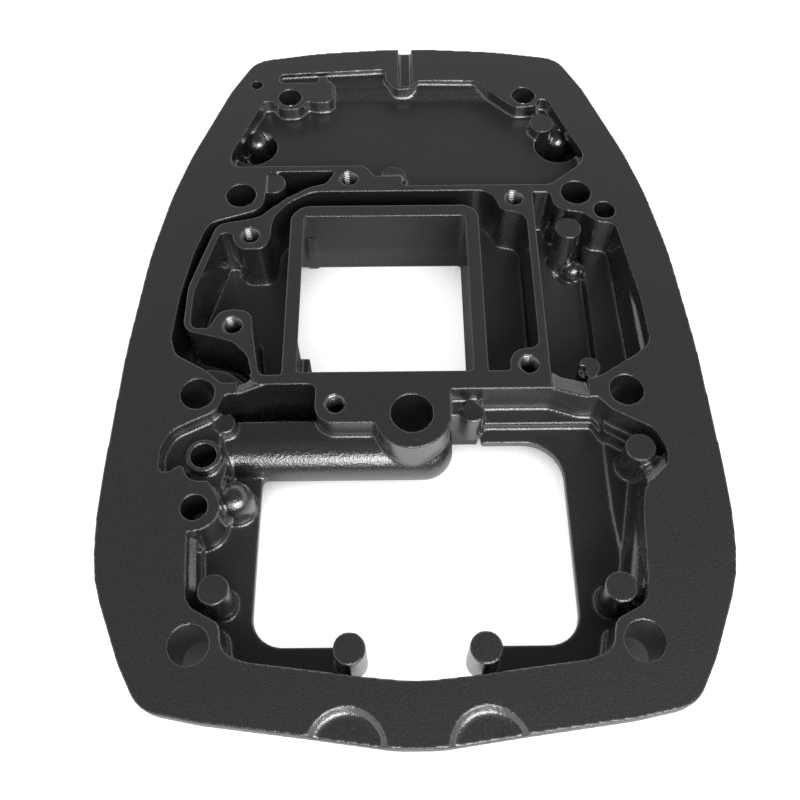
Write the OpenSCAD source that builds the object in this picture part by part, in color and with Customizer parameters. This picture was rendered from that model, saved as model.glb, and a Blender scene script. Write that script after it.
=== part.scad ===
// Outboard exhaust guide plate: one die casting in aluminium, painted black.
// Origin: midway between the middle bolt holes, on the top gasket face.
// +Z leaves that face, +Y points to the narrow front end. All sizes in mm.

/* [Plate] */
// Width across the widest part of the flange
plate_w = 242; // [238:1:250]
// Middle bolt pair to the front edge
front_l = 202.6; // [200:0.2:212]
// Middle bolt pair to the tip of the rear edge
rear_l = 137.4; // [136:0.2:146]
// Height from the top gasket face to the foot of the exhaust duct
depth = 38.5; // [36:0.5:44]
// Thickness of the bolting flange
flange_t = 8; // [7:0.5:10]

/* [Walls] */
// Thickness of the ribs between the chambers
rib_t = 3.7; // [3.2:0.1:4.2]
// Thickness of the chamber floors
floor_t = 4; // [3:0.5:5]
// Thickness of the walls that hang below the flange
shell_t = 4; // [3:0.5:5]

/* [Exhaust duct] */
// Width of the duct opening, across the plate
duct_w = 73.8; // [70:0.2:75]
// Length of the duct opening, along the plate
duct_l = 82.4; // [80:0.2:84]
// Centre of the duct opening, left of the middle line
duct_x = -11.1; // [-12:0.1:-10]
// Rear edge of the duct opening, ahead of the middle bolts
duct_y = 9.9; // [9:0.1:11]
// Wall of the duct
duct_wall = 6.3; // [5.5:0.1:7]
// Outward lean of the left duct wall over its height
duct_lean = 6; // [0:0.5:6.5]
// Depth of the lugs in the two left corners of the duct
lug_top = 16; // [13:0.5:20]
// Width of the lugs, across the plate
lug_w = 3.6; // [3:0.1:5]
// Length of the near lug, along the duct
lug_l = 16; // [13:0.5:18]
// Width of the water gallery right of the duct
gallery_w = 21.9; // [20:0.1:23]
// Width of the water gallery ahead of the duct
gallery_f = 8.6; // [7.6:0.1:9.4]

/* [Chambers] */
// Depth of the water gallery and the two side chambers
water_d = 27.5; // [22:0.5:30]
// Depth of the narrow shelf at the rear of the left side chamber
side_shelf_d = 5; // [3:0.5:7]
// Depth of the shallow floor in the right side chamber
bench_d = 21; // [18:0.5:21.5]
// Left edge of that shallow floor, from the middle line
bench_x = 82.3; // [80:0.1:84]
// Depth of the rear chamber
sump_d = 22.5; // [20.5:0.5:25]
// Depth of the front chamber
front_d = 6.8; // [5.5:0.1:8]
// Depth of the raised shelf along the front chamber
shelf_d = 3; // [2:0.1:4]
// Front chamber edge to the front edge of the plate
front_rim = 14.5; // [13:0.5:17]
// Front ends of the side chambers
side_f = 119.7; // [119:0.1:120.5]
// Depth of the crescent shelf beside the rear chamber
crescent_d = 7; // [5:0.5:9]
// Depth of the bench on top of the cross passage
cross_d = 12; // [11:0.5:14]
// Outer radius of the cross passage
cross_r = 12; // [11:0.5:13]
// Depth of the slot ahead of the cross passage
slot_d = 33; // [26:1:34]
// Depth of the ledge on the right of the hub
ledge_d = 18; // [15:0.5:19]
// Depth of the lobe at the right end of the ledge
lobe_d = 13; // [9:0.5:14]
// Depth of the saddles where they meet the side chambers
saddle_d = 2.5; // [1.5:0.5:4]

/* [Rear opening] */
// Width of the opening through the rear floor
well_w = 126; // [124:0.2:128]
// Rear edge of that opening
well_y = -98; // [-100:0.5:-94]
// Front edge of that opening, right of the hub
well_front = -12.9; // [-14:0.1:-10]
// Half width of the bay between the two rear posts
bay_x = 24; // [22:0.5:25]

/* [Bolt holes] */
// Half spacing of the rear pair
rear_bolt_x = 81.3; // [80.6:0.1:82]
// Rear pair, behind the middle pair
rear_bolt_back = 102; // [101:0.5:103]
// Diameter of the rear pair
rear_bolt_dia = 14.5; // [13:0.1:15]
// Half spacing of the middle pair
mid_bolt_x = 88; // [87:0.1:89]
// Diameter of the middle pair
mid_bolt_dia = 13.8; // [13:0.1:14.6]
// Half spacing of the third pair
side_bolt_x = 78; // [77.6:0.1:78.4]
// Third pair, ahead of the middle pair
side_bolt_y = 105.4; // [105:0.1:105.8]
// Diameter of the third pair
side_bolt_dia = 13.6; // [13:0.1:14.2]
// Half spacing of the front pair
front_bolt_x = 58.3; // [57.8:0.1:58.8]
// Front pair, ahead of the middle pair
front_bolt_y = 168.7; // [168.2:0.1:169.2]
// Diameter of the front pair
front_bolt_dia = 11.2; // [10.4:0.1:11.8]
// Wall round a bolt hole
bolt_wall = 4.3; // [3.5:0.1:4.6]

/* [Other holes] */
// Diameter of the driveshaft hole
shaft_dia = 17.1; // [15:0.1:18.5]
// Outer radius of the hub round the driveshaft hole
hub_r = 15.8; // [14:0.1:16.5]
// Diameter of the ringed hole on the crescent shelf
ring_dia = 10.2; // [9:0.1:11]
// Wall of the ring round it
ring_wall = 2; // [1.6:0.1:2.6]
// Diameter of the blind hole behind it
drain_dia = 10.2; // [9:0.1:11]
// Depth of that blind hole
drain_depth = 18; // [14:0.5:20]
// Diameter of the hole beside the right bolt of the third pair
pilot_dia = 9.6; // [8.6:0.1:10.2]
// Diameter of the small hole at the left front corner
dowel_dia = 5.4; // [4.6:0.1:6.4]

/* [Tapped holes] */
// Core diameter of the tapped holes
tap_d = 6.8; // [6.6:0.1:7.2]
// Mouth diameter of their chamfer
tap_mouth = 9; // [8.2:0.1:9.6]
// Depth of the tapped holes
tap_depth = 20; // [16:0.5:22]
// Outer radius of their bosses
tap_boss_r = 8; // [7.4:0.1:8.4]

/* [Ejector pads] */
// Radius of the common ejector pads
pad_r = 5.9; // [5.2:0.1:6.2]
// Radius of the small ejector pads
small_pad_r = 4.5; // [4:0.1:5]
// How far the pads stay below the gasket face
pad_drop = 0.6; // [0.4:0.1:1.2]
// Radius of the round-ended towers
tower_r = 6; // [5:0.1:6.5]
// Radius of the front wells that they stand in
tower_well_r = 10.8; // [9:0.1:11.5]
// Depth of those wells
tower_floor = 22; // [14:1:26]
// Radius of the round-ended post beside the rear opening
ball_r = 7.5; // [7:0.1:8.6]

/* [Edge recesses] */
// Mouth radius of the half-round recesses in the rear edge
scoop_r = 14.3; // [13.5:0.1:15]
// Width of their sloping side
scoop_slope = 2.3; // [1.5:0.1:2.6]
// Half spacing of the recesses
scoop_x = 24.5; // [23:0.5:26]
// Depth of the recesses
scoop_d = 2.4; // [1.8:0.1:3]
// Width of the slot in the front edge
notch_w = 6.6; // [6:0.1:8]
// Middle of the slot in the front edge
notch_x = -0.7; // [-1.5:0.1:0]
// Depth of the slot in the front edge
notch_d = 2.8; // [2:0.1:3.4]

/* [Hidden] */
PAINT = "#2a2b2c";

half_w = plate_w / 2;

// Bolt pairs: half spacing, place along the plate and diameter
rear_bolt = [rear_bolt_x, -rear_bolt_back, rear_bolt_dia];
mid_bolt = [mid_bolt_x, 0, mid_bolt_dia];
side_bolt = [side_bolt_x, side_bolt_y, side_bolt_dia];
front_bolt = [front_bolt_x, front_bolt_y, front_bolt_dia];

// Single holes: place and diameter
shaft_hole = [-0.2, -9.8, shaft_dia];
ring_hole = [-83.5, -26.8, ring_dia];
drain_hole = [-84.5, -49.7, drain_dia];
pilot_hole = [90.1, 94.8, pilot_dia];
dowel_hole = [-75.4, 177.7, dowel_dia];

front_top = front_l - front_rim;
duct_x0 = duct_x - duct_w / 2;
duct_x1 = duct_x + duct_w / 2;
duct_y1 = duct_y + duct_l;
tube_x0 = duct_x0 - duct_wall;
tube_x1 = duct_x1 + duct_wall;
tube_y0 = duct_y - duct_wall;
tube_y1 = duct_y1 + duct_wall;
gallery_x1 = tube_x1 + gallery_w;
gallery_y1 = tube_y1 + gallery_f;
rib_x1 = gallery_x1 + rib_t;
rib_y1 = gallery_y1 + rib_t;
side_rib_y1 = side_f + rib_t;
water_foot = water_d + floor_t;
sump_foot = sump_d + floor_t;
front_foot = front_d + floor_t;
// Rear faces of the walls ahead of the rear chamber, left and right of the hub
left_wall_y = 4.1;
right_wall_y = 1.1;
hub_wall_y = -14.2;
hub_foot_wall = 3;
// Cross passage: its axis and its two ends
cross_y = -16;
cross_z = -cross_d - cross_r;
cross_x0 = -78;
cross_x1 = 17;
nose_x = cross_x1 - cross_r;
// Ledge right of the hub: its rear face, where its high end stops and where the floor behind it starts
ledge_y = -6.1;
ledge_x = 28;
strip_x = 29.4;
step_d = 10;
// Rear edge of the slot ahead of the cross passage
bench_y = -6.85;
// Sides of the rear opening, which sits a little right of the middle
well_mid = 0.2;
well_x0 = well_mid - well_w / 2;
well_x1 = well_mid + well_w / 2;
// Depth of the saddles where they meet the rear chamber, and their width along the fall
saddle_lip = 0.3;
saddle_run = 7.2;
// Largest angle between two points of a rounded corner
arc_step = 14;
// How far a cutting solid runs past the face that it cuts
over = 1;
// Places of the two ends of the front chamber's ramp, along the plate
ramp_y0 = front_bolt_y + 3;
ramp_y1 = front_bolt_y + 9;

// Tapped holes, each with its place in the rib wall round the duct
TAPS = [[-28, 115.5], [49, rib_y1 - 8.3], [-72.2, 82], [-76.4, 33.5], [49, 12.7], [-31.6, -5.2]];

// Shallow well in the right side chamber, and the tower in it: place, radius and depth of its top
side_well = [77, 81.5];
side_well_r = 8.4;
side_tower = [77.9, 79.6, 5.3, 20.7];

// Wells in the front chamber, and the towers that stand in them
TOWER_WELLS = [[-75, 142], [73.6, 141.6]];
TOWERS = [[-75, 150], [75, 150]];
tower_top = -7;

// Ejector pads and posts: place, radius, depth of the foot and depth of the top
PADS = [
    [-7, 117, pad_r, flange_t, pad_drop], [66, 150.3, pad_r, tower_floor + over, pad_drop],
    [-63.5, 113, pad_r, water_foot, pad_drop], [72.6, 84.8, pad_r, water_foot, pad_drop],
    [74.2, 11.5, small_pad_r, water_foot, pad_drop],
    [-74.5, -81.8, pad_r, sump_foot, pad_drop], [75.6, -82.1, pad_r, sump_foot, pad_drop],
    [-24.1, -103.7, pad_r, sump_foot, pad_drop], [24.8, -103.7, pad_r, sump_foot, pad_drop],
    [-77, -10.7, small_pad_r, sump_foot, crescent_d - 1],
    [25.5, -5, small_pad_r + 0.5, sump_foot, step_d - 1.5],
    [90.7, -25.4, pad_r + 0.2, sump_foot, pad_drop + 0.9]
];

// One outline corner [x, y, r], rounded no further than its two sides allow
function unit(v) = v / norm(v);
function short_turn(a) = a > 180 ? a - 360 : a < -180 ? a + 360 : a;
function corner(p, v, n, r) =
    let (a = unit(p - v), b = unit(n - v), half = acos(a * b) / 2,
         cut = min(r / tan(half), 0.48 * norm(p - v), 0.48 * norm(n - v)),
         rr = cut * tan(half), c = v + unit(a + b) * rr / sin(half),
         s = v + a * cut - c, e = v + b * cut - c, a0 = atan2(s.y, s.x),
         sweep = short_turn(atan2(e.y, e.x) - a0), steps = max(2, ceil(abs(sweep) / arc_step)))
    [for (i = [0:steps]) c + rr * [cos(a0 + sweep * i / steps), sin(a0 + sweep * i / steps)]];
function xy(v) = [v.x, v.y];
function rounded(v) = let (n = len(v))
    [for (i = [0:n - 1]) let (p = xy(v[(i + n - 1) % n]), q = xy(v[i]), s = xy(v[(i + 1) % n]))
        each v[i][2] > 0 && abs(unit(q - p) * unit(s - q)) < 0.9999 ? corner(p, q, s, v[i][2]) : [q]];
function mirrored(v) = [for (i = [len(v) - 1:-1:0]) [-v[i].x, v[i].y, v[i][2]]];

// Outline of the flange, right half from front to rear
FLANGE_HALF = [
    [10, front_l, 150], [half_w - 76, front_l - 2.4, 150], [half_w - 44, front_l - 7.8, 14],
    [half_w - 33, front_l - 29.5, 60], [half_w - 17.7, 130, 150], [half_w - 11, 105, 150],
    [half_w - 5, 70, 200], [half_w - 1, 20, 300], [half_w + 0.5, -35, 200],
    [half_w + 0.3, -56, 120], [half_w - 2, -78, 60], [half_w - 15.5, 28.8 - rear_l, 60],
    [half_w - 24.6, 13.2 - rear_l, 14], [half_w - 45, 9.1 - rear_l, 60],
    [38, 4.2 - rear_l, 100], [8, -rear_l, 30]
];

// Front chamber, with its land round the front slot and the two front bolts
front_land_x = -10.8;
FRONT = [
    [-64.2, front_top - 3.2, 2], [front_land_x, front_top, 1.5], [front_land_x, front_top - 8, 5],
    [-6, front_top - 14.2, 4], [2, front_top - 14.2, 4], [5.5, front_top - 8.2, 3],
    [34, front_top - 8.8, 3], [51.5, front_bolt.y - 6.4, 4], [54, front_bolt.y - 8.2, 3],
    [64, front_bolt.y - 7.2, 3], [65.7, front_bolt.y - 2.6, 2], [70, front_bolt.y - 3.2, 2],
    [79, 141.5, 8], [half_w - 37, 130, 7], [half_w - 38.8, 123.6, 8], [67, rib_y1, 4],
    [-3, rib_y1, 1.5], [-3, rib_y1 + 5.7, 1], [-15.8, rib_y1 + 5.7, 2], [-20.5, side_rib_y1, 6],
    [36.8 - half_w, side_rib_y1, 7], [36.8 - half_w, 132.5, 8], [-71.2, front_bolt.y - 2.4, 3],
    [-66, front_bolt.y - 2.7, 2], [-62.5, front_bolt.y - 8.2, 4], [-54, front_bolt.y - 8.2, 4],
    [-49.5, front_bolt.y - 2.7, 2], [-45, front_bolt.y - 3.7, 2], [-36.8, front_bolt.y - 3.7, 4],
    [-36.8, front_top - 8.8, 4], [-40, front_top - 8.8, 0.8], [-40, front_top - 4.8, 0.8],
    [-44.8, front_top - 4.8, 0.8], [-44.8, front_top - 8.8, 0.8], [-64.2, front_top - 8.8, 2]
];

// Left side chamber: outer edge, rear end, then back along the rib wall
SIDE_LEFT = [
    [-34.6, side_f, 1], [-66.8, side_f, 2], [-66.8, side_bolt.y - 8, 9],
    [29.5 - half_w, side_bolt.y - 16.2, 8], [24.4 - half_w, 72, 40], [20.8 - half_w, 50, 60],
    [19.3 - half_w, 27, 8], [22 - half_w, 19, 6], [-85.5, 11.2, 20], [-79, 5, 5], [-69.5, 5.6, 3],
    [-66.8, 9.5, 2], [-69, 18, 8], [-76, 25.5, 12], [-97.4, 31, 6], [-97.3, 54, 15],
    [-87.7, 88.4, 6], [-69, 92.3, 10], [-57, 103.5, 15], [-46, 110.2, 10], [-38.5, 112.3, 5]
];

// Water gallery round the duct, bulging round the tapped bosses
GALLERY = [
    [-45, gallery_y1, 12], [gallery_x1 - 15.5, gallery_y1, 9], [gallery_x1 - 11.5, gallery_y1 - 12, 5],
    [gallery_x1, gallery_y1 - 14, 7], [gallery_x1, 21.8, 4], [42.3, 18.5, 5], [41, duct_y - 0.3, 2],
    [tube_x1 - 3, duct_y - 0.3, 0], [tube_x0 + 3, duct_y - 1, 0], [-63.6, duct_y - 1, 3],
    [-67.3, 30, 25], [-68.5, 41.3, 7], [-82.5, 41.3, 6], [-86.3, 32, 3], [-94.3, 32, 3.5],
    [-94.5, 51, 25], [-85.8, 83.2, 3], [-80, 83.2, 3], [-78, 74, 6], [-65, 74, 5],
    [-63, 81, 8], [-62.3, 92, 12], [-56, 100.5, 15]
];

// Right side chamber
SIDE_RIGHT = [
    [rib_x1, side_bolt.y + 0.3, 1.5], [65.8, side_bolt.y + 0.3, 1.5], [67.2, side_bolt.y - 8.1, 6],
    [73, side_bolt.y - 10.8, 5], [80.5, side_bolt.y - 12.2, 4], [86, side_bolt.y - 17.4, 4],
    [half_w - 27, side_bolt.y - 18.8, 3.5], [half_w - 21, 45, 60], [half_w - 20, 23, 7],
    [half_w - 27, 17, 12], [79, 7.4, 12], [73, 5.4, 3], [62, 8, 5], [rib_x1, 12.5, 1.5]
];

// Rear chamber, with the crescent on its left and the lobe on its right
SUMP = [
    [-64, left_wall_y - 1, 2], [-60, left_wall_y, 3], [-39.9, left_wall_y, 3],
    [-39.9, hub_wall_y, 8], [-15.6, hub_wall_y, 1.5], [15.6, hub_wall_y, 0],
    [15.6, right_wall_y, 1.5], [rib_x1, right_wall_y, 6], [70.5, -3.2, 10], [76.3, -3.2, 3],
    [81.5, -9.2, 8], [half_w - 24, -18, 8], [half_w - 20.4, -27, 8], [half_w - 21.5, -34, 5],
    [half_w - 32, -43.5, 10], [half_w - 33.6, -55, 20], [half_w - 35.4, -79, 20],
    [half_w - 36.7, -88, 8], [rear_bolt.x - 9.3, rear_bolt.y + 7.8, 5],
    [rear_bolt.x - 11.5, rear_bolt.y - 3.5, 8], [60, 29 - rear_l, 10], [19, 23.9 - rear_l, 40],
    [0, 22 - rear_l, 60], [-19, 23.9 - rear_l, 40], [-60, 29.2 - rear_l, 10],
    [11.5 - rear_bolt.x, rear_bolt.y - 3, 8], [10.3 - rear_bolt.x, rear_bolt.y + 7.7, 5],
    [37.2 - half_w, -87.5, 8], [35.8 - half_w, -73, 20], [34.6 - half_w, -58.2, 2.5],
    [-79.5, -57.3, 6], [-74.3, -50, 8], [-76.5, -44, 4], [-80.3, -38.4, 1.5], [-88, -38.5, 7],
    [-91, -30.8, 2], [-95.5, -34.6, 3], [21.1 - half_w, -34.5, 3], [20.7 - half_w, -25, 8],
    [24 - half_w, -17, 8], [-79.5, -8, 6], [-77.2, -0.6, 3], [-71.7, -0.2, 2]
];

// Opening through the rear floor, with the bay between the rear posts
WELL = [
    [well_x0, cross_y - cross_r + 0.7, 4], [nose_x, cross_y - cross_r + 0.7, 0], [nose_x, cross_y, 0],
    [cross_x1, cross_y, 0], [cross_x1, ledge_y, 0], [strip_x, ledge_y, 0], [strip_x, well_front, 1],
    [well_x1, well_front, 17],
    [well_x1, well_y, 12], [bay_x + 6, well_y, 2], [bay_x, 26 - rear_l, 0], [bay_x, 24.6 - rear_l, 0],
    [0, 22 - rear_l, 60], [-bay_x, 24.6 - rear_l, 0], [-bay_x, 26 - rear_l, 0], [-bay_x - 6, well_y, 2],
    [well_x0, well_y, 12]
];

// Outer walls of the water chambers, below the flange
WATER_SHELL = [
    [-66.8 - shell_t, side_rib_y1, 5], [-20, side_rib_y1, 6], [-14, rib_y1, 6],
    [66, side_bolt.y + 4.3, 5], [70, side_bolt.y - 5.5, 8], [82, side_bolt.y - 8.2, 6],
    [half_w - 24, side_bolt.y - 14.5, 8], [half_w - 20 + shell_t, 23, 12], [83, 3, 10],
    [70, tube_y0 - 8, 4], [-72, tube_y0 - 8, 4], [-83, 1, 10], [19.3 - shell_t - half_w, 25, 12],
    [20.4 - half_w, 74, 30], [25.5 - half_w, side_bolt.y - 12.2, 10],
    [-66.8 - shell_t, side_bolt.y - 4, 6]
];

// Outer walls of the rear chamber, below the flange
SUMP_SHELL_HALF = [
    [83, 3, 10], [half_w - 22 + shell_t, -15, 12], [half_w - 20 + shell_t, -36, 8],
    [half_w - 32 + shell_t, -48, 10], [half_w - 35 + shell_t, -86, 12],
    [rear_bolt.x - 7.6, rear_bolt.y + 6, 6], [rear_bolt.x - 8, rear_bolt.y - 6, 8],
    [61, 24.8 - rear_l, 10], [19, 18.8 - rear_l, 40]
];

module prism(outline, z0, z1) {
    translate([0, 0, z0]) linear_extrude(z1 - z0) polygon(rounded(outline));
}

// A chamber cut down from the gasket face
module chamber(outline, deep) {
    prism(outline, -deep, over);
}

module post(place, r, z0, z1) {
    translate([place.x, place.y, z0]) cylinder(r = r, h = z1 - z0, $fn = 48);
}

module pair(bolt) {
    for (side = [-1, 1]) translate([side * bolt.x, bolt.y, 0]) children();
}

// A post with a ball for its top, standing on a floor
module tower(place, r, z0, top) {
    post(place, r, z0, top - r);
    translate([place.x, place.y, top - r]) sphere(r = r, $fn = 48);
}

module flange() {
    prism(concat(FLANGE_HALF, mirrored(FLANGE_HALF)), -flange_t, 0);
}

// The body that hangs below the flange: chamber shells, duct foot and bolt bosses
module body() {
    prism(WATER_SHELL, -water_foot, -over);
    prism(concat(SUMP_SHELL_HALF, mirrored(SUMP_SHELL_HALF)), -sump_foot, -over);
    front_pan();
    duct_foot();
    for (bolt = [rear_bolt, mid_bolt, side_bolt]) pair(bolt)
        translate([0, 0, -sump_foot]) cylinder(r = bolt[2] / 2 + bolt_wall, h = sump_foot - over, $fn = 64);
    post(pilot_hole, pilot_dia / 2 + bolt_wall, -sump_foot, -over);
    for (place = TOWER_WELLS) post(place, tower_well_r + shell_t, -tower_floor - floor_t, -over);
}

// Thicker skin under the front chamber
module front_pan() {
    prism([[-half_w + 33, side_rib_y1 - 4, 9], [-half_w + 32, 134, 12], [-67, front_top + 1, 8],
        [front_land_x + 4, front_top + 4, 6], [40, front_top - 4, 10], [72, 171, 10],
        [half_w - 32, 134, 12], [half_w - 34, rib_y1 - 4, 9]], -front_foot, -over);
}

// Walls that run down to the foot: round the duct, and under the ledge and the cross passage
module duct_foot() {
    prism([[tube_x0 - duct_lean, tube_y0, 4], [tube_x0 - duct_lean, tube_y1, 9],
        [tube_x1, tube_y1, 9], [tube_x1, tube_y0, 4]], -depth, -over);
    prism([[0, tube_y0 + 2, 0], [ledge_x + 1, tube_y0 + 2, 0], [ledge_x + 1, ledge_y, 0],
        [0, ledge_y, 0]], -depth, -over);
    prism([[cross_x0 - shell_t, left_wall_y + shell_t, 4], [0, left_wall_y + shell_t, 0],
        [0, cross_y, 0], [cross_x0 - shell_t, cross_y, 2]], -depth, -over);
}

// Water gallery, open round the duct
module gallery() {
    difference() {
        chamber(GALLERY, water_d);
        prism([[tube_x0, tube_y0, 1], [tube_x0, tube_y1, 9], [tube_x1, tube_y1, 8],
            [tube_x1, tube_y0, 1]], -water_d - over, 2 * over);
    }
}

// Duct opening: straight on three sides, with a left wall that leans outward
module duct_bore() {
    prism([[duct_x0, duct_y, 2], [duct_x0, duct_y1, 5], [duct_x1, duct_y1, 2],
        [duct_x1, duct_y, 2]], -depth - over, over);
    translate([0, duct_y1, 0]) rotate([90, 0, 0]) linear_extrude(duct_l - lug_l + over)
        polygon([[duct_x0, 0], [duct_x0 + 5, 0], [duct_x0 + 5, -depth - over],
            [duct_x0 - duct_lean, -depth - over]]);
}

// Lugs left in the two left corners of the duct, the far one thin
module duct_lugs() {
    for (lug = [[duct_y - over, lug_l + over], [duct_y1 - over, 2 * over]])
        translate([duct_x0 - over, lug[0], -depth]) cube([lug_w + over, lug[1], depth - lug_top]);
}

// Front chamber: a deep floor, a ramp and a raised shelf along the front
module front_chamber() {
    intersection() {
        chamber(FRONT, front_d);
        translate([-half_w, 0, 0]) rotate([90, 0, 90]) linear_extrude(plate_w)
            polygon([[rib_y1 - 5, over], [rib_y1 - 5, -front_d], [ramp_y0, -front_d],
                [ramp_y1, -shelf_d], [front_l, -shelf_d], [front_l, over]]);
    }
}

// Round wells at the rear corners of the front chamber, with a tower in each
module tower_wells() {
    for (place = TOWER_WELLS) post(place, tower_well_r, -tower_floor, -front_d + over);
}

module towers() {
    for (place = TOWERS) tower(place, tower_r, -tower_floor - over, tower_top);
}

// Left side chamber, with a narrow shelf along its rear end
module side_left() {
    difference() {
        chamber(SIDE_LEFT, water_d);
        prism([[-92, 0, 0], [-87.5, 15, 3], [-77.6, 13.5, 8], [-70.5, 8.2, 2], [-66, 3, 0]],
            -water_d - over, -side_shelf_d);
    }
}

// A sloping face: a profile in X and Z, run from the start towards -Y and turned round it
module slope(start, turn, run, profile) {
    translate([start.x, start.y, 0]) rotate([90, 0, turn]) linear_extrude(run) polygon(profile);
}

// Right side chamber: deep beside the rib, a shallower floor and a sloping foot outside
module side_right() {
    difference() {
        union() {
            chamber(SIDE_RIGHT, bench_d);
            intersection() {
                chamber(SIDE_RIGHT, water_d);
                translate([rib_x1 - over, 0, -depth]) cube([bench_x - rib_x1 + over, 120, depth + 2 * over]);
            }
            post(side_well, side_well_r, -water_d - 1.5, -water_d + over);
        }
        slope([94.3, 92], 1.7, 80, [[0, -depth], [0, -bench_d], [2.3, -8], [5, -6], [14, -6], [14, -depth]]);
    }
}

// What stands inside the rear chamber, trimmed to its walls
module sump_steps() {
    grow = 2 * over;
    facet_d = 8;
    intersection() {
        prism(SUMP, -depth, 0);
        union() {
            prism([[-half_w, -44, 0], [-half_w, 0, 0], [-79, 0, 0], [-78, -19, 3], [-74.5, -27, 4],
                [-77, -44, 0]], -depth, -crescent_d);
            prism([[ledge_x, grow, 0], [86, grow, 0], [86, -15, 0], [79.6, -12.4, 0],
                [76.2, ledge_y, 1], [ledge_x, ledge_y, 1]], -sump_foot, -ledge_d);
            prism([[cross_x1 - 4, grow, 0], [ledge_x + 1, grow, 0], [ledge_x + 1, ledge_y, 1],
                [cross_x1 - 4, ledge_y, 0]], -depth, -step_d);
            prism([[79.7, 0, 0], [79.7, -12.4, 0.8], [89, -18.4, 3], [92, -27, 0],
                [98.8, -25.6, 1], [half_w, -26.5, 0], [half_w, 0, 0]], -sump_foot, -lobe_d);
            prism([[81, -8, 0], [81, -44, 0], [82.4, -62, 0], [82.4, -86, 0], [half_w, -86, 0],
                [half_w, -8, 0]], -sump_foot, -sump_d + 1.2);
            slope([89.9, -30.7], -12.1, 56, [[0, -sump_foot], [0, 2.5 - sump_d], [1.9, -12], [3.7, -11],
                [5.5, -4.6], [20, -4.6], [20, -sump_foot]]);
            intersection() {
                slope([102.5, -31.3], -47.9, 20, [[4, -sump_foot], [-9.5, -sump_foot],
                    [-9.5, -facet_d], [0, 0], [4, 0]]);
                translate([90.6, -60, -depth]) cube([20, 60, depth]);
            }
            slope([-86.4, -58.2], 5.1, 40, [[-9, -sump_foot], [2.2, -sump_foot], [2.2, -9],
                [-0.3, -4], [-9, -4]]);
        }
    }
}

// Round-nosed cross passage under the left wall, its bench and the slot ahead of it
module cross_passage() {
    translate([cross_x0, cross_y, cross_z]) rotate([0, 90, 0])
        cylinder(r = cross_r, h = nose_x - cross_x0, $fn = 96);
    translate([nose_x, cross_y, cross_z]) sphere(r = cross_r, $fn = 96);
    translate([cross_x0, cross_y, -depth]) cube([nose_x - cross_x0, bench_y - cross_y, depth - cross_d]);
    translate([-40, bench_y - over, -depth]) cube([nose_x + 40, right_wall_y - bench_y + over, depth - cross_d]);
}

module cross_slot() {
    intersection() {
        prism(SUMP, -slot_d, -crescent_d);
        prism([[cross_x0, bench_y, 1.5], [cross_x0, left_wall_y + over, 0],
            [-39.9, left_wall_y + over, 0], [-39.9, bench_y, 1.5]], -slot_d - over, 0);
    }
}

// Hub round the driveshaft hole, with a narrower foot hidden behind the cross passage
module hub() {
    post(shaft_hole, hub_r, -sump_foot, 0);
    post(shaft_hole, shaft_dia / 2 + hub_foot_wall, -depth, -sump_foot + over);
}

module tap_bosses() {
    for (place = TAPS) post(place, tap_boss_r, -sump_foot, 0);
}

// Flat-topped ejector pads and posts, the round-ended ones and the rings round holes
module pads() {
    for (p = PADS) post(p, p[2], -p[3], -p[4]);
    tower(side_tower, side_tower[2], -water_foot, -side_tower[3]);
    tower([-71.4, -41.6], ball_r, -sump_foot, -6);
    post(ring_hole, ring_dia / 2 + ring_wall, -sump_foot, -2);
    post(drain_hole, drain_dia / 2 + 4.7, -sump_foot, 0);
    pair(front_bolt) translate([0, 0, -flange_t]) cylinder(r = front_bolt_dia / 2 + 2.4, h = flange_t, $fn = 48);
}

// Saddles between side and rear chambers, which fall away towards the side chambers
module saddles() {
    fall = [[-saddle_run, over], [-saddle_run, -saddle_lip], [0, -saddle_lip],
        [2 * saddle_run, saddle_lip - 2 * saddle_d], [2 * saddle_run, over]];
    intersection() {
        prism([[-71.9, 8, 0], [-67.5, 8.8, 0], [-65.3, 5, 3], [-61, left_wall_y, 1], [-61, -1.5, 0],
            [-71.9, -1.5, 0]], -depth, over);
        slope([-73, -0.9], 109.3, 16, fall);
    }
    intersection() {
        prism([[rib_x1, 12, 0], [72.6, 12, 0], [72.6, -6, 0], [rib_x1, -6, 0]], -depth, over);
        slope([54, 1.7], 74.6, 22, fall);
    }
}

// A straight hole down from the gasket face
module hole(spec, deep) {
    translate([spec.x, spec.y, -deep]) cylinder(d = spec[2], h = deep + over, $fn = 64);
}

module bolt_holes() {
    for (bolt = [rear_bolt, mid_bolt, side_bolt, front_bolt]) for (side = [-1, 1])
        hole([side * bolt.x, bolt.y, bolt[2]], depth);
    hole(shaft_hole, depth + over);
    hole(ring_hole, depth);
    hole(drain_hole, drain_depth);
    hole(pilot_hole, depth);
    hole(dowel_hole, depth);
}

// Tapped hole: a plain core bore with a chamfered mouth
module tapped_holes() {
    sink = (tap_mouth - tap_d) / 2;
    for (place = TAPS) {
        hole([place.x, place.y, tap_d], tap_depth);
        translate([place.x, place.y, -sink]) cylinder(d1 = tap_d, d2 = tap_mouth, h = sink, $fn = 64);
    }
}

// Half-round recesses that break out through the rear edge
module scoops() {
    for (side = [-1, 1]) translate([side * scoop_x, -rear_l - 0.3, -scoop_d])
        cylinder(r1 = scoop_r - scoop_slope, r2 = scoop_r, h = scoop_d + 0.01, $fn = 96);
}

module front_notch() {
    translate([notch_x - notch_w / 2, front_top - 12, -notch_d]) cube([notch_w, front_l, notch_d + over]);
}

module guide_plate() color(PAINT) {
    difference() {
        casting();
        holes();
    }
    duct_lugs();
}

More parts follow.
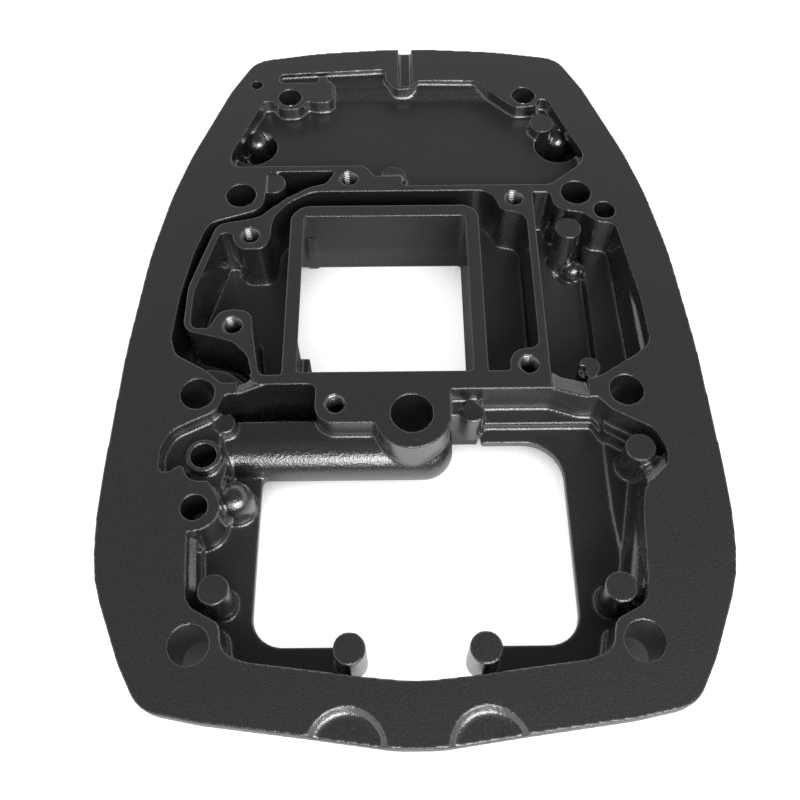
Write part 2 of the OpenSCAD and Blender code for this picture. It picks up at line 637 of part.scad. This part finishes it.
// Everything as cast, before the holes: flange and body, less the chambers, with what stands in them
module casting() {
    difference() {
        union() {
            flange();
            body();
        }
        front_chamber();
        tower_wells();
        side_left();
        side_right();
        gallery();
        chamber(SUMP, sump_d);
        prism(WELL, -depth - over, -sump_d + over);
    }
    sump_steps();
    cross_passage();
    hub();
    tap_bosses();
    towers();
    pads();
}

module holes() {
    duct_bore();
    cross_slot();
    saddles();
    bolt_holes();
    tapped_holes();
    scoops();
    front_notch();
}

guide_plate();
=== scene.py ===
import math

import bmesh
import bpy
import numpy as np
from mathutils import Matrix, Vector

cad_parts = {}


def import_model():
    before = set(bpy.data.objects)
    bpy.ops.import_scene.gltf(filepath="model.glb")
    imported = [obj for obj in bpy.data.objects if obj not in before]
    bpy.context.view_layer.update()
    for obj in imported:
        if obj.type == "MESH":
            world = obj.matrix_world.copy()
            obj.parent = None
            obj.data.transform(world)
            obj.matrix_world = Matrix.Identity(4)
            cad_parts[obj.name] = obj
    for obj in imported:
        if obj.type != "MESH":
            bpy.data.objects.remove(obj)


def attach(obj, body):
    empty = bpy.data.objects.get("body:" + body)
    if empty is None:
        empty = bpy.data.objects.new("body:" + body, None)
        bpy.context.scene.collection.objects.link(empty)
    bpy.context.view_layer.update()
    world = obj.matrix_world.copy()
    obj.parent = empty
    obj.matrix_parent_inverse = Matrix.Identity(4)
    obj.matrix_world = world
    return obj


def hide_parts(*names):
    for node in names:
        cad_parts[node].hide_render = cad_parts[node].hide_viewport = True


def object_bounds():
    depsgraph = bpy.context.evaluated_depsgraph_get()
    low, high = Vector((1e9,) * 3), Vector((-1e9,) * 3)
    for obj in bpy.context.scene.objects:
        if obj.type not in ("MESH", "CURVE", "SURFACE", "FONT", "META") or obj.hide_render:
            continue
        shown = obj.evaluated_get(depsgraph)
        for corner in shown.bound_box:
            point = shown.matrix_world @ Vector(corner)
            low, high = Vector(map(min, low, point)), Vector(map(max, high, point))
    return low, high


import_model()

CAD_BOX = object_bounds()
MM = 0.001
NODE = "guide_plate"

# Tapped holes in mm, as in the solid: axes; radii of the plain core, the thread's root and its crest;
# radius and depth of the mouth, depth of the hole and pitch of the thread
TAPS = [(-28, 115.5), (49, 102.6), (-72.2, 82), (-76.4, 33.5), (49, 12.7), (-31.6, -5.2)]
CORE_R, ROOT_R, CREST_R = 3.4, 4.02, 3.42
MOUTH_R, MOUTH_D, TAP_D, PITCH = 4.5, 1.1, 20.0, 1.25

# Skin: voxel size, passes that even it out, passes of rounding below the gasket face, the share of
# that rounding that outer corners get, triangles kept
VOXEL = 0.6 * MM
EVEN = 6
PASSES = 10
CRISP = 0.25
KEEP = 195000

# That rounding starts this far below the gasket face, is full this much lower, and stays this far
# from the axes of the tapped holes
ROUND_START, ROUND_RUN, TAP_CLEAR = 0.9 * MM, 1.6 * MM, 5.2 * MM

# Points this near the gasket face or the foot are taken as lying in it
FACE_BAND, FOOT_BAND = 0.16 * MM, 0.2 * MM


def camera():
    data = bpy.data.cameras.new("camera")
    data.sensor_width = 36
    data.lens = 40.03
    data.clip_start = 0.01
    data.clip_end = 20
    cam = bpy.data.objects.new("camera", data)
    cam.location = (-0.00576, -0.17659, 0.31894)
    cam.rotation_euler = [math.radians(a) for a in (28.430, 0.1684, -0.5533)]
    bpy.context.scene.collection.objects.link(cam)
    bpy.context.scene.camera = cam


class Nodes:
    """Short calls for building a node tree."""

    def __init__(self, tree):
        self.tree = tree
        tree.nodes.clear()

    def add(self, kind, **values):
        node = self.tree.nodes.new(kind)
        for key, value in values.items():
            setattr(node, key, value)
        return node

    def link(self, a, b):
        self.tree.links.new(a, b)

    def math(self, operation, a, b=0.0, clamp=False):
        node = self.add("ShaderNodeMath", operation=operation, use_clamp=clamp)
        for socket, value in zip(node.inputs, (a, b)):
            if isinstance(value, (int, float)):
                socket.default_value = value
            else:
                self.link(value, socket)
        return node.outputs[0]

    def noise(self, coords, scale, detail=2.0, rough=0.5):
        node = self.add("ShaderNodeTexNoise")
        node.inputs["Scale"].default_value = scale
        node.inputs["Detail"].default_value = detail
        node.inputs["Roughness"].default_value = rough
        self.link(coords, node.inputs["Vector"])
        return node.outputs["Fac"]

    def ramp(self, value, low, high, to_low=0.0, to_high=1.0):
        node = self.add("ShaderNodeMapRange")
        for name, v in (("From Min", low), ("From Max", high), ("To Min", to_low), ("To Max", to_high)):
            node.inputs[name].default_value = v
        self.link(value, node.inputs["Value"])
        return node.outputs["Result"]

    def mix(self, factor, a, b):
        node = self.add("ShaderNodeMix", data_type="RGBA")
        if isinstance(factor, (int, float)):
            node.inputs[0].default_value = factor
        else:
            self.link(factor, node.inputs[0])
        for socket, value in ((node.inputs[6], a), (node.inputs[7], b)):
            if isinstance(value, tuple):
                socket.default_value = value
            else:
                self.link(value, socket)
        return node.outputs[2]


def grey(v):
    return (v, v, v, 1.0)


def black_paint():
    """Satin black paint: glossy on the cast slopes and edges, duller and more even on the flats, and
    painted lighter in the deepest chambers.
    """
    mat = bpy.data.materials.new("black_paint")
    mat.use_nodes = True
    n = Nodes(mat.node_tree)
    out = n.add("ShaderNodeOutputMaterial")
    bsdf = n.add("ShaderNodeBsdfPrincipled")
    n.link(bsdf.outputs[0], out.inputs["Surface"])
    place = n.add("ShaderNodeTexCoord").outputs["Object"]
    edge = n.add("ShaderNodeBevel", samples=4)
    edge.inputs["Radius"].default_value = 0.9 * MM
    up = n.add("ShaderNodeSeparateXYZ")
    n.link(edge.outputs["Normal"], up.inputs[0])
    here = n.add("ShaderNodeSeparateXYZ")
    n.link(place, here.inputs[0])
    level = n.ramp(up.outputs["Z"], 0.93, 0.99)
    face = n.math("MULTIPLY", level, n.ramp(here.outputs["Z"], -0.4 * MM, -0.2 * MM))

    grain = n.noise(place, 1500, 3.0, 0.6)
    patch = n.noise(place, 90, 3.0, 0.6)
    speck = n.ramp(n.noise(place, 900, 1.0, 0.4), 0.70, 0.78)

    # Painted light: from 22 mm below the gasket face down to 27 mm the colour grows lighter, standing in
    # for light in the deep chambers.
    deep_painted_light = n.ramp(here.outputs["Z"], -27 * MM, -22 * MM)
    fine = n.ramp(grain, 0.30, 0.70)
    cast = n.mix(deep_painted_light, n.mix(fine, grey(0.024), grey(0.042)), n.mix(fine, grey(0.008), grey(0.018)))
    flat = n.mix(deep_painted_light, n.mix(fine, grey(0.026), grey(0.044)), n.mix(fine, grey(0.001), grey(0.022)))
    colour = n.mix(level, cast, flat)
    colour = n.mix(n.math("MULTIPLY", patch, 0.30), colour, grey(0.016))
    colour = n.mix(n.math("MULTIPLY", speck, 0.20), colour, grey(0.07))
    n.link(colour, bsdf.inputs["Base Color"])

    rough = n.math("ADD", n.ramp(level, 0, 1, 0.26, 0.48), n.ramp(grain, 0.2, 0.8, -0.06, 0.08))
    n.link(rough, bsdf.inputs["Roughness"])
    bsdf.inputs["IOR"].default_value = 1.8
    bsdf.inputs["Specular IOR Level"].default_value = 0.5
    n.link(n.ramp(level, 0, 1, 1.0, 0.05), bsdf.inputs["Coat Weight"])
    bsdf.inputs["Coat Roughness"].default_value = 0.1
    bsdf.inputs["Coat IOR"].default_value = 1.8

    bump = n.add("ShaderNodeBump")
    bump.inputs["Distance"].default_value = 0.1 * MM
    tilt = n.math("ABSOLUTE", up.outputs["Z"])
    sloped = n.math("MULTIPLY", n.ramp(tilt, 0.10, 0.30), n.ramp(tilt, 0.94, 0.985, 1.0, 0.0))
    coarse = n.math("ADD", n.ramp(sloped, 0, 1, 0.35, 1.0), n.ramp(face, 0, 1, 0.0, 0.35))
    n.link(coarse, bump.inputs["Strength"])
    n.link(n.math("ADD", grain, n.math("MULTIPLY", n.noise(place, 800, 2.0), 1.2)), bump.inputs["Height"])
    n.link(edge.outputs["Normal"], bump.inputs["Normal"])
    n.link(bump.outputs["Normal"], bsdf.inputs["Normal"])
    n.link(bump.outputs["Normal"], bsdf.inputs["Coat Normal"])
    return mat


def bare_thread():
    """Cut thread with thin paint: greyer and shinier than the cast skin."""
    mat = bpy.data.materials.new("thread")
    mat.use_nodes = True
    n = Nodes(mat.node_tree)
    out = n.add("ShaderNodeOutputMaterial")
    bsdf = n.add("ShaderNodeBsdfPrincipled")
    n.link(bsdf.outputs[0], out.inputs["Surface"])
    place = n.add("ShaderNodeTexCoord").outputs["Object"]
    grain = n.noise(place, 1800, 2.0)
    n.link(n.mix(grain, grey(0.10), grey(0.26)), bsdf.inputs["Base Color"])
    n.link(n.ramp(grain, 0.2, 0.8, 0.14, 0.28), bsdf.inputs["Roughness"])
    bsdf.inputs["Metallic"].default_value = 0.8
    return mat


def plain(obj, mat):
    obj.data.materials.clear()
    obj.data.materials.append(mat)


def new_object(name, mesh):
    obj = bpy.data.objects.new(name, mesh)
    bpy.context.scene.collection.objects.link(obj)
    return obj


def open_bores(mesh):
    """Widen the plain core bores to the thread's root, in the copy of the solid."""
    co = np.empty(len(mesh.vertices) * 3, np.float32)
    mesh.vertices.foreach_get("co", co)
    co = co.reshape(-1, 3)
    for x, y in TAPS:
        off = co[:, :2] - np.array([x, y]) * MM
        r = np.hypot(off[:, 0], off[:, 1])
        wall = (np.abs(r - CORE_R * MM) < 0.12 * MM) & (co[:, 2] > -(TAP_D + 0.5) * MM)
        co[wall, :2] = np.array([x, y]) * MM + off[wall] * (ROOT_R * MM / r[wall])[:, None]
        lip = wall & (co[:, 2] > -(MOUTH_D + 0.3) * MM)
        co[lip, 2] = -(MOUTH_R - ROOT_R) * MM
    mesh.vertices.foreach_set("co", co.ravel())
    mesh.update()


def smooth_skin(mesh):
    """Round the corners below the gasket face, as fillets do, and even out the outlines on it."""
    count = len(mesh.vertices)
    co = np.empty(count * 3, np.float32)
    mesh.vertices.foreach_get("co", co)
    co = co.reshape(-1, 3).astype(np.float64)
    out = np.empty(count * 3, np.float32)
    mesh.vertices.foreach_get("normal", out)
    out = out.reshape(-1, 3)
    ends = np.empty(len(mesh.edges) * 2, np.int32)
    mesh.edges.foreach_get("vertices", ends)
    a, b = ends[0::2], ends[1::2]
    degree = np.maximum(np.bincount(a, minlength=count) + np.bincount(b, minlength=count), 1)
    top = np.abs(co[:, 2]) < FACE_BAND
    co[top, 2] = 0.0
    foot = co[:, 2] < CAD_BOX[0][2] + FOOT_BAND
    below = np.clip((-co[:, 2] - ROUND_START) / ROUND_RUN, 0, 1)
    for x, y in TAPS:
        near = np.hypot(co[:, 0] - x * MM, co[:, 1] - y * MM) < TAP_CLEAR
        below[near] = 0
    off_foot = np.where(foot, 0.0, 1.0)
    off_ends = np.where(top, 0.0, 1.0) * off_foot

    def step(weights, crisp=1.0):
        """Move each point towards the middle of its neighbours; moves into the metal are scaled."""
        move = np.empty_like(co)
        for axis in range(3):
            c = co[:, axis]
            mean = (np.bincount(a, c[b], count) + np.bincount(b, c[a], count)) / degree
            move[:, axis] = weights[axis] * (mean - c)
        inward = (move * out).sum(axis=1) < 0
        co[:] = co + move * np.where(inward, crisp, 1.0)[:, None]

    for _ in range(EVEN):
        for share in (0.60, -0.63):
            step([share, share, share * off_ends])
    for _ in range(PASSES):
        step([0.5 * below, 0.5 * below, 0.5 * below * off_foot], CRISP)
    mesh.vertices.foreach_set("co", co.astype(np.float32).ravel())
    mesh.update()


def apply_modifiers(obj):
    """Replace an object's mesh by the result of its modifiers."""
    graph = bpy.context.evaluated_depsgraph_get()
    graph.update()
    mesh = bpy.data.meshes.new_from_object(obj.evaluated_get(graph), depsgraph=graph)
    obj.modifiers.clear()
    obj.data = mesh


def cast_skin(mat):
    """The plate as cast: the solid with rounded edges, fillets at its floors and opened bores."""
    source = bpy.data.objects[NODE]
    obj = new_object("cast_plate", source.data.copy())
    bm = bmesh.new()
    bm.from_mesh(obj.data)
    bmesh.ops.remove_doubles(bm, verts=bm.verts, dist=0.002 * MM)
    bm.to_mesh(obj.data)
    bm.free()
    open_bores(obj.data)
    solid = new_object("cast_solid", obj.data.copy())
    remesh = obj.modifiers.new("skin", "REMESH")
    remesh.mode = "VOXEL"
    remesh.voxel_size = VOXEL
    wrap = obj.modifiers.new("wrap", "SHRINKWRAP")
    wrap.target = solid
    wrap.wrap_method = "NEAREST_SURFACEPOINT"
    apply_modifiers(obj)
    bpy.data.objects.remove(solid)
    smooth_skin(obj.data)
    obj.data.calc_loop_triangles()
    fewer = obj.modifiers.new("fewer", "DECIMATE")
    fewer.ratio = min(1.0, KEEP / len(obj.data.loop_triangles))
    apply_modifiers(obj)
    obj.data.shade_smooth()
    obj.data.set_sharp_from_angle(angle=math.radians(38))
    normals = obj.modifiers.new("normals", "WEIGHTED_NORMAL")
    normals.weight = 60
    normals.keep_sharp = True
    plain(obj, mat)
    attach(obj, "root")
    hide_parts(NODE)
    return obj


def threads(mat):
    """One helical ridge in each tapped hole."""
    step = 24
    turns = (TAP_D - 1.6) / PITCH
    profile = [(ROOT_R + 0.15, -0.5), (CREST_R, -0.07), (CREST_R, 0.07), (ROOT_R + 0.15, 0.5)]
    for index, (x, y) in enumerate(TAPS):
        bm = bmesh.new()
        rows = []
        for i in range(int(turns * step) + 1):
            turn = 2 * math.pi * i / step
            z = -0.75 - PITCH * i / step
            rows.append([bm.verts.new(((x + r * math.cos(turn)) * MM, (y + r * math.sin(turn)) * MM,
                                       (z + h * PITCH * 0.98) * MM)) for r, h in profile])
        for p, q in zip(rows, rows[1:]):
            for k in range(len(profile) - 1):
                bm.faces.new((p[k], p[k + 1], q[k + 1], q[k]))
        mesh = bpy.data.meshes.new("thread_%d" % index)
        bm.to_mesh(mesh)
        bm.free()
        obj = new_object("thread_%d" % index, mesh)
        obj.data.shade_smooth()
        plain(obj, mat)
        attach(obj, "root")


def inside(n, here, low, high, soft):
    """1 inside a rectangle of the floor, given by its two corners in mm, and 0 outside it."""
    parts = []
    for axis in (0, 1):
        middle, half = (low[axis] + high[axis]) / 2 * MM, (high[axis] - low[axis]) / 2 * MM
        off = n.math("ABSOLUTE", n.math("SUBTRACT", here.outputs[axis], middle))
        parts.append(n.ramp(off, half - soft * MM, half, 1.0, 0.0))
    return n.math("MULTIPLY", *parts)


def floor():
    """Plain white floor: its lamp shadow under the part is deepened by painted shadow and shade; it is
    clear when seen from below.
    """
    low = CAD_BOX[0][2] - 0.0002
    mesh = bpy.data.meshes.new("floor")
    s = 4.0
    mesh.from_pydata([(-s, -s, low), (s, -s, low), (s, s, low), (-s, s, low)], [], [(0, 1, 2, 3)])
    obj = new_object("floor", mesh)
    mat = bpy.data.materials.new("floor")
    mat.use_nodes = True
    n = Nodes(mat.node_tree)
    out = n.add("ShaderNodeOutputMaterial")
    here = n.add("ShaderNodeSeparateXYZ")
    n.link(n.add("ShaderNodeTexCoord").outputs["Object"], here.inputs[0])
    near = n.add("ShaderNodeAmbientOcclusion", samples=12)
    near.inputs["Distance"].default_value = 0.12
    # Painted shadow: under the plate, where ambient occlusion is low and outside the duct and the rear
    # well, the floor is darker and loses its glow.
    under = inside(n, here, (-104, -118), (104, 190), 11)
    under = n.math("MULTIPLY", under, n.ramp(near.outputs["AO"], 0.74, 0.92, 1.0, 0.0))
    duct = inside(n, here, (-62, 4), (34, 98), 4)
    well = inside(n, here, (-70, -126), (70, 2), 3)
    painted_shadow = n.math("SUBTRACT", under, n.math("MAXIMUM", duct, well), clamp=True)
    diffuse = n.add("ShaderNodeBsdfDiffuse")
    n.link(n.mix(painted_shadow, grey(0.3), grey(0.06)), diffuse.inputs["Color"])
    ray = n.add("ShaderNodeLightPath")
    # Painted shade and light in the glow: it fades near the part by ambient occlusion, is stronger in
    # reflections over the rear well than elsewhere, and never drops below 0.012.
    seen = n.math("MULTIPLY", ray.outputs["Is Camera Ray"], n.ramp(near.outputs["AO"], 0.08, 0.34))
    mirrored = n.math("MULTIPLY", ray.outputs["Is Glossy Ray"], n.ramp(near.outputs["AO"], 0.30, 0.65))
    mirrored = n.math("MULTIPLY", mirrored, n.ramp(well, 0, 1, 0.15, 0.7))
    glow = n.add("ShaderNodeEmission")
    glow.inputs["Color"].default_value = grey(1.0)
    open_floor = n.math("MULTIPLY", n.math("MAXIMUM", seen, mirrored), n.math("SUBTRACT", 1.0, painted_shadow))
    n.link(n.math("MAXIMUM", open_floor, 0.012), glow.inputs["Strength"])
    both = n.add("ShaderNodeAddShader")
    n.link(diffuse.outputs[0], both.inputs[0])
    n.link(glow.outputs[0], both.inputs[1])
    from_below = n.math("MULTIPLY", ray.outputs["Is Camera Ray"],
                        n.add("ShaderNodeNewGeometry").outputs["Backfacing"])
    surface = n.add("ShaderNodeMixShader")
    n.link(from_below, surface.inputs[0])
    n.link(both.outputs[0], surface.inputs[1])
    n.link(n.add("ShaderNodeBsdfTransparent").outputs[0], surface.inputs[2])
    n.link(surface.outputs[0], out.inputs["Surface"])
    plain(obj, mat)


def world():
    """White to the camera. For the part it is bright up to about 30 degrees and dim above that."""
    w = bpy.data.worlds.new("studio")
    bpy.context.scene.world = w
    w.use_nodes = True
    n = Nodes(w.node_tree)
    out = n.add("ShaderNodeOutputWorld")
    back = n.add("ShaderNodeBackground")
    n.link(back.outputs[0], out.inputs["Surface"])
    part = n.add("ShaderNodeSeparateXYZ")
    n.link(n.add("ShaderNodeTexCoord").outputs["Generated"], part.inputs[0])
    up = part.outputs["Z"]
    sky = n.ramp(up, 0.50, 0.62, 1.15, 0.15)
    ray = n.add("ShaderNodeLightPath")
    n.link(n.math("MAXIMUM", ray.outputs["Is Camera Ray"], sky), back.inputs["Strength"])


def softbox(name, azimuth, elevation, size, radiance):
    """A rectangular lamp 2 m away, aimed at the part; azimuth 0 is the camera's side, 90 the right."""
    a, e = math.radians(azimuth), math.radians(elevation)
    way = Vector((math.sin(a) * math.cos(e), -math.cos(a) * math.cos(e), math.sin(e)))
    data = bpy.data.lights.new(name, "AREA")
    data.shape = "RECTANGLE"
    data.size, data.size_y = size
    data.energy = radiance * math.pi * size[0] * size[1]
    obj = bpy.data.objects.new(name, data)
    obj.location = way * 2
    obj.rotation_euler = way.to_track_quat("Z", "Y").to_euler()
    bpy.context.scene.collection.objects.link(obj)


def light():
    world()
    softbox("window", 22, 36, (1.8, 1.05), 7.5)


def main():
    camera()
    paint = black_paint()
    cast_skin(paint)
    threads(bare_thread())
    floor()
    light()
    bpy.context.scene.view_settings.view_transform = "Standard"


main()
